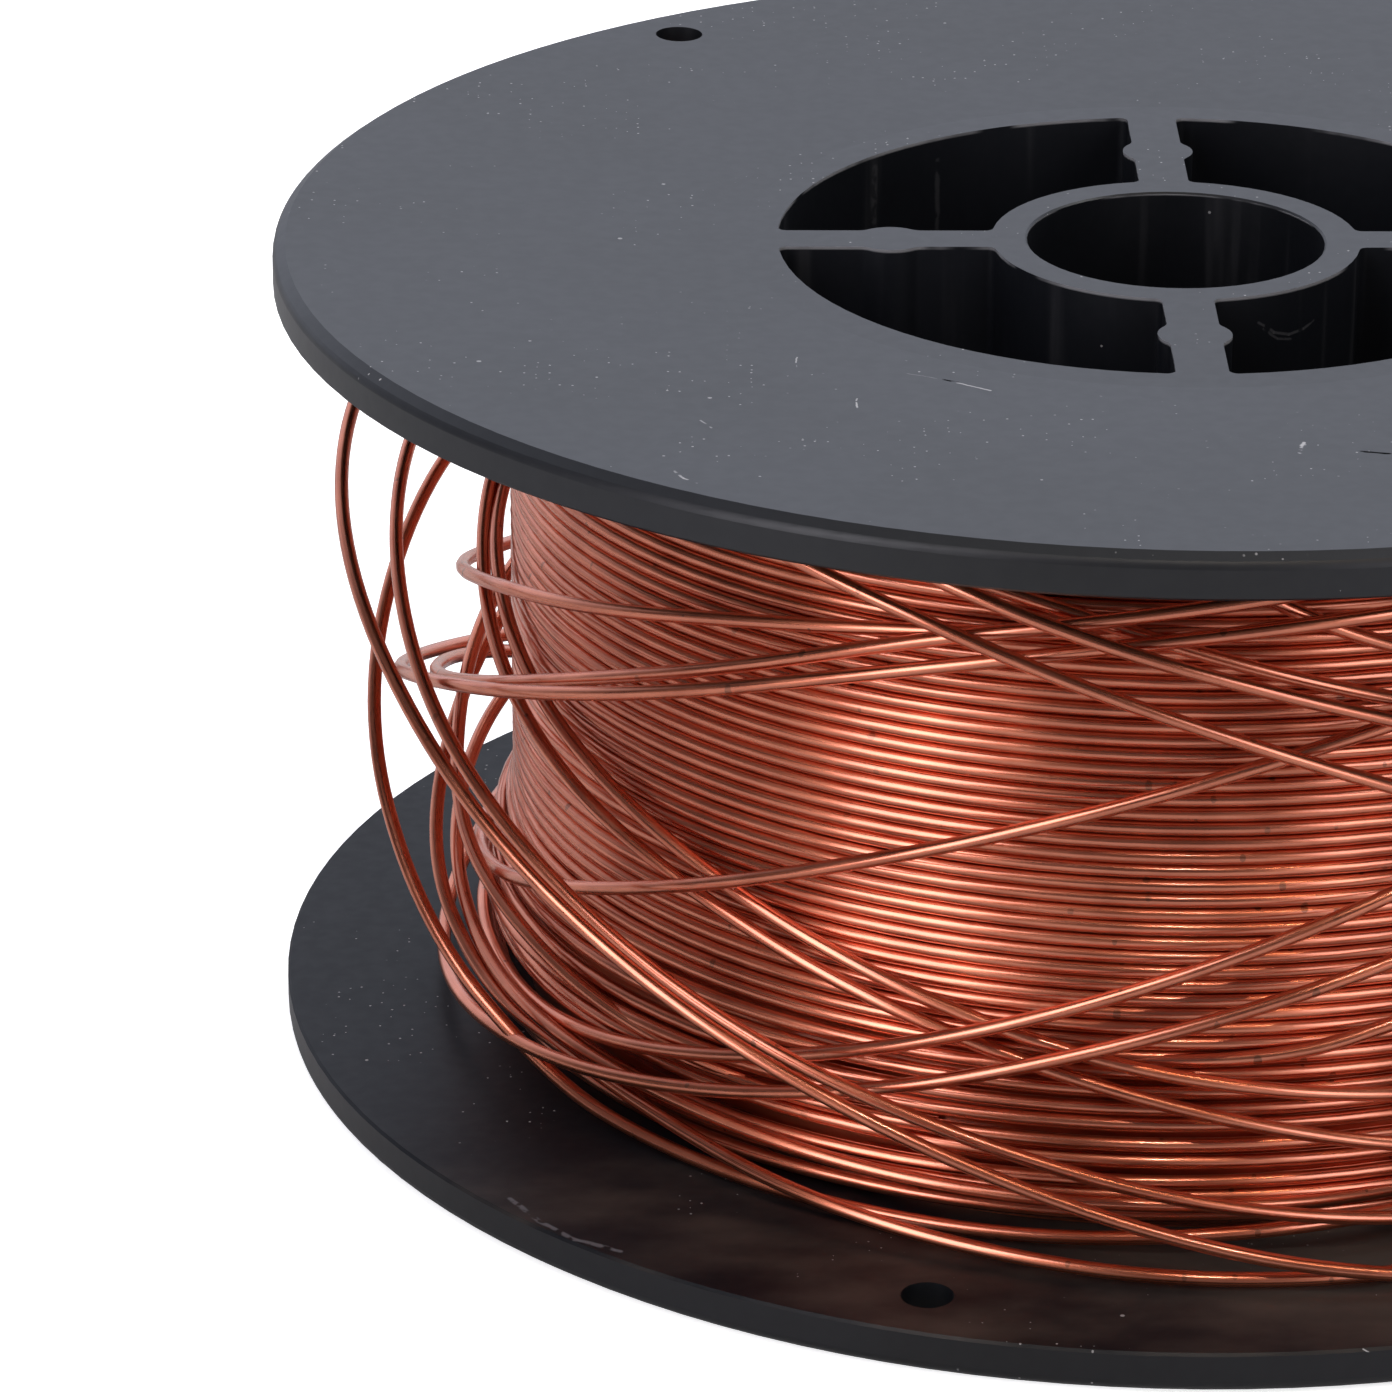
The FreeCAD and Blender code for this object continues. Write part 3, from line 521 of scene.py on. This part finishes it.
# Marks seen in the photograph: points in millimetres, width, strength and colour
MARKS = [
    ([(-27.7, -38.2, 46.15), (-27.3, -39.3, 46.17), (-26.6, -39.9, 46.18)], 0.10, 0.7, DUST),
    ([(-15.6, -22.2, 45.65), (-14.0, -23.1, 45.65)], 0.06, 0.3, DUST),
    ([(-13.7, -23.2, 45.66), (-13.0, -23.6, 45.66)], 0.14, 1.0, PIT),
    ([(-13.0, -23.7, 45.67), (-11.3, -24.9, 45.68)], 0.08, 0.8, DUST),
    ([(-26.4, -30.3, 45.98), (-25.8, -31.5, 45.99)], 0.08, 0.5, DUST),
    ([(4.0, -9.4, 44.0), (4.8, -9.0, 43.3), (5.7, -8.5, 43.0), (6.5, -7.9, 43.1), (7.1, -7.3, 43.4)],
     0.12, 0.6, SCUFF),
    ([(4.2, -9.3, 43.6), (5.0, -8.9, 42.9), (5.8, -8.4, 42.7)], 0.10, 0.5, SCUFF),
    ([(-16.3, 14.9, 44.8), (-16.3, 14.9, 39.0)], 0.35, 0.35, SCUFF),
    ([(-12.6, 18.2, 44.2), (-12.6, 18.2, 40.0)], 0.25, 0.35, SCUFF),
    ([(-36.5, -32.4, 2.43), (-34.8, -35.1, 2.41), (-32.9, -37.2, 2.41), (-30.5, -38.6, 2.42)],
     0.22, 1.0, GREY_SCUFF),
    ([(7.6, -49.3, 2.35), (8.0, -49.45, 2.2), (8.5, -49.4, 2.3)], 0.06, 0.9, DUST),
    ([(6.9, -34.3, 45.85), (8.7, -34.8, 45.87)], 0.16, 1.0, PIT),
    ([(4.0, -34.6, 45.85), (4.4, -33.0, 45.81)], 0.14, 0.9, DUST),
    ([(-18.3, -26.5, 45.79), (-18.3, -28.4, 45.82)], 0.07, 0.8, DUST),
    ([(-21.3, -19.9, 45.71), (-21.3, -21.5, 45.74)], 0.06, 0.7, DUST),
]


def find_regions(surface):
    """Shares that are 1 on one part of the spool each, and 0 elsewhere."""
    coordinates = surface.add("TexCoord")
    place, upward = coordinates.outputs["Object"], surface.split(coordinates.outputs["Normal"])["Z"]
    from_middle = surface.calculate("SUBTRACT", surface.split(place)["Z"], MIDDLE_HEIGHT)
    radius = surface.vector("LENGTH", surface.vector("MULTIPLY", place, (1, 1, 0)), output="Value")
    wall = surface.band(surface.calculate("ABSOLUTE", upward), WALL_ENDS)
    return SimpleNamespace(
        inner=surface.band(surface.product(from_middle, upward), INNER_ENDS),
        lying=surface.calculate("SUBTRACT", 1.0, wall),
        hollow=surface.product(wall, surface.band(radius, HOLLOW_ENDS)),
        rim=surface.product(wall, surface.band(radius, RIM_ENDS)),
        front=surface.band(surface.split(place)["Y"], FRONT_ENDS),
        edge=surface.band(surface.calculate("ABSOLUTE", from_middle), EDGE_ENDS),
    )


def add_dust(surface, colour, lying):
    """Fine dust in patches on faces that lie, and coarser specks all over."""
    dusty = surface.band(surface.noise(scale=110), (0.5, 0.58))
    fine = surface.specks(scale=1600, size=0.08, share=0.16, space="2D")
    coarse = surface.specks(scale=420, size=0.045, share=0.2)
    fine, coarse = surface.product(fine, dusty, lying, 0.75), surface.product(coarse, 0.6)
    return surface.mix(surface.calculate("MAXIMUM", fine, coarse), colour, DUST)


def add_edge_highlight_and_wear(surface, colour, hollow, edge):
    """Painted highlights along the edges round the openings, broken up by noise, and streaks down their
    walls.
    """
    highlight_share = surface.band(surface.noise(scale=160, detail=3), (0.4, 0.55))
    # A painted highlight along the edges round the openings, shown where the noise lets it through
    colour = surface.mix(surface.product(edge, hollow, highlight_share, 0.4), colour, EDGE_HIGHLIGHT)
    streaks = surface.band(surface.noise(scale=500, detail=3, stretch=(1, 1, 0.05)), (0.56, 0.8))
    return surface.mix(surface.product(streaks, hollow, 0.4), colour, SCUFF)


def add_marks(surface, colour, sheen):
    """The marks of the photograph, wobbly and broken up; a pit has no sheen either."""
    place = surface.add("TexCoord").outputs["Object"]
    wobble = surface.noise(scale=700, place=place, output="Color")
    shift = surface.vector("MULTIPLY", surface.vector("SUBTRACT", wobble, (0.5, 0.5, 0.5)), WOBBLE)
    shaken = surface.vector("ADD", place, shift)
    broken = surface.band(surface.noise(scale=1500), (0.38, 0.52))
    for path, width, strength, shade in MARKS:
        for start, end in zip(path, path[1:]):
            mark = surface.product(surface.stroke(shaken, start, end, width), broken, strength)
            colour = surface.mix(mark, colour, shade)
            if shade == PIT:
                sheen = surface.calculate("SUBTRACT", sheen, mark)
    return colour, sheen


def make_plastic():
    """Black moulded plastic under a sheen that is weaker inside; with dust, smudges, and painted
    highlights along the openings' edges.
    """
    material, surface, shader = new_material("black_plastic", {
        "Specular IOR Level": 0.0,
        "Coat Roughness": 0.41,
    })
    on = find_regions(surface)
    patches = surface.noise(scale=45, detail=6)
    grain = surface.noise(scale=1100, detail=3)
    surface.bump(shader, grain, strength=0.3)

    roughness = surface.total(
        surface.band(patches, (0.3, 0.7), PLASTIC_ROUGHNESS),
        surface.product(on.inner, INNER_MATT),
        surface.product(on.rim, surface.noise(scale=1, detail=3, stretch=(5, 5, 4500)), RIM_TURNED),
    )
    surface.feed(shader.inputs["Roughness"], roughness)

    blotches = surface.band(surface.noise(scale=90, detail=5, stretch=(0.5, 1, 1)), (0.42, 0.66))
    smudge = surface.product(on.inner, on.front, blotches)
    sheen = surface.total(
        surface.band(grain, (0.25, 0.75), PLASTIC_SHEEN),
        surface.product(on.inner, -INNER_DULL),
        surface.product(on.hollow, -HOLLOW_DULL),
        surface.product(smudge, SMUDGE_SHEEN),
    )
    colour = surface.ramp(patches, (0.35, PLASTIC_DARK), (0.65, PLASTIC_LIGHT))
    colour = surface.mix(surface.product(smudge, 0.9), colour, DIRT)
    colour = add_dust(surface, colour, on.lying)
    colour = add_edge_highlight_and_wear(surface, colour, on.hollow, on.edge)
    colour, sheen = add_marks(surface, colour, sheen)
    surface.feed(shader.inputs["Coat Weight"], sheen)
    surface.feed(shader.inputs["Base Color"], colour)
    return material


wire_copper = make_copper()
plastic = make_plastic()
for piece in [winding, *strands]:
    piece.data.materials.append(wire_copper)
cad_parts["wire_pack"].data.materials[0] = wire_copper
for name in ("lower_half", "upper_half"):
    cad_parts[name].data.materials[0] = plastic

# Floor, backdrop and light
FLOOR_SIZE, FLOOR_DULL = 8, (0.5, 0.5, 0.5)
# How much of the white that the camera sees also shows in gloss
FLOOR_IN_GLOSS, WORLD_IN_GLOSS = 0.12, 0.02
# The world's light, dim in front and bright behind: where each begins, and its colour
WORLD_FRONT, WORLD_BACK = (0.2, (0.068, 0.065, 0.074)), (0.75, (0.89, 0.94, 1.10))
LIGHTS_AIM = (0, 0, 0.02)


def mix_by_ray(surface, in_gloss, seen, otherwise):
    """What the camera sees, in part also seen in gloss and through glass, and what lights the object."""
    path, mix = surface.add("LightPath").outputs, surface.add("MixShader")
    mirrored = surface.calculate("MAXIMUM", path["Is Glossy Ray"], path["Is Transmission Ray"])
    mirrored = surface.product(mirrored, in_gloss)
    surface.feed(mix.inputs[0], surface.calculate("MAXIMUM", path["Is Camera Ray"], mirrored))
    surface.feed(mix.inputs[1], otherwise)
    surface.feed(mix.inputs[2], seen)
    return mix.outputs[0]


def add_floor():
    """A white floor, which throws less light back up than the camera sees."""
    bpy.ops.mesh.primitive_plane_add(size=FLOOR_SIZE)
    floor = bpy.context.object
    floor.name = "floor"
    material, surface, shader = new_material("floor", {
        "Base Color": (0.9, 0.9, 0.9),
        "Roughness": 0.9,
        "Emission Color": (1, 1, 1),
        "Emission Strength": 0.7,
    })
    dull = surface.add("BsdfDiffuse")
    surface.feed(dull.inputs["Color"], FLOOR_DULL)
    shown = mix_by_ray(surface, FLOOR_IN_GLOSS, shader.outputs[0], dull.outputs[0])
    surface.feed(surface.nodes["Material Output"].inputs["Surface"], shown)
    floor.data.materials.append(material)


def add_world():
    """White where the camera looks past everything, and a studio's light everywhere else."""
    world = bpy.data.worlds.new("studio")
    bpy.context.scene.world = world
    surface = Surface(world)
    white, studio = surface.nodes["Background"], surface.add("Background")
    surface.feed(white.inputs["Color"], (1, 1, 1))
    backward = surface.split(surface.add("TexCoord").outputs["Generated"])["Y"]
    surface.feed(studio.inputs["Color"], surface.ramp(backward, WORLD_FRONT, WORLD_BACK))
    shown = mix_by_ray(surface, WORLD_IN_GLOSS, white.outputs[0], studio.outputs[0])
    surface.feed(surface.nodes["World Output"].inputs["Surface"], shown)


def add_area_light(name, place, size, power, colour=(1, 1, 1), aim=LIGHTS_AIM):
    """A soft lamp of a width and height in metres and a power in watts."""
    data = bpy.data.lights.new(name, "AREA")
    data.shape = "RECTANGLE"
    data.size, data.size_y = size
    data.energy, data.color = power, colour
    light = bpy.data.objects.new(name, data)
    light.location = place
    light.rotation_euler = (Vector(aim) - Vector(place)).to_track_quat("-Z", "Y").to_euler()
    bpy.context.collection.objects.link(light)


add_floor()
add_world()
add_area_light("overhead", place=(0.1, 0.5, 1.1), size=(0.7, 0.5), power=5, aim=(0, 0, 0))
add_area_light("left_front", place=(-0.75, -0.7, 0.5), size=(0.45, 1.2), power=7.2,
               colour=(1, 0.98, 1.06))
add_area_light("right_front", place=(0.55, -1.0, 0.4), size=(0.3, 0.8), power=2.3,
               colour=(1, 0.97, 1.02))
add_area_light("right_top", place=(0.8, 0.0, 0.8), size=(0.4, 0.4), power=3)
add_area_light("lamp", place=(0.0, -0.7, 1.0), size=(0.03, 0.03), power=1.2, colour=(1, 0.94, 0.86))
add_area_light("warm_lamp", place=(0.28, -0.64, 1.0), size=(0.06, 0.025), power=0.6,
               colour=(1, 0.7, 0.4))

bpy.context.scene.view_settings.view_transform = "Standard"
